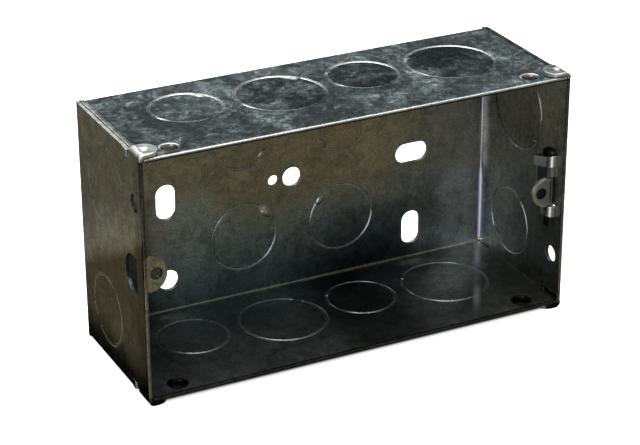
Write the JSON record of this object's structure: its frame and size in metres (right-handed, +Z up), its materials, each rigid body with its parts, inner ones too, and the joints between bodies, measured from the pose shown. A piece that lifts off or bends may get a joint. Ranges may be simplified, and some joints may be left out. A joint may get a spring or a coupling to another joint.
{
  "type": "flush back box",
  "caption": "Open-fronted wall box of folded galvanised sheet, with knockouts in its walls, a slotted back, a fixed threaded lug and a sliding threaded lug for an accessory plate.",
  "frame": {"origin": "centre of the back panel's outer face, on the axis of its centre hole", "axes": "+X along the width, to the right when facing the open front; +Y out of the back; +Z up, from the bottom plate to the top plate"},
  "size_m": [0.1326, 0.047, 0.0746],
  "materials": {
    "galvanised_sheet": "mottled galvanised sheet, satin",
    "plated_lug": "plated sheet, satin"
  },
  "bodies": {
    "shell": {"box_shell": "galvanised_sheet"},
    "lug": {"adjustable_lug": "plated_lug"}
  },
  "joints": [
    {"name": "lug_slide", "type": "slide", "parent": "shell", "child": "lug", "axis": [0, 0, 1], "range_m": [-0.0006, 0.0032]}
  ]
}
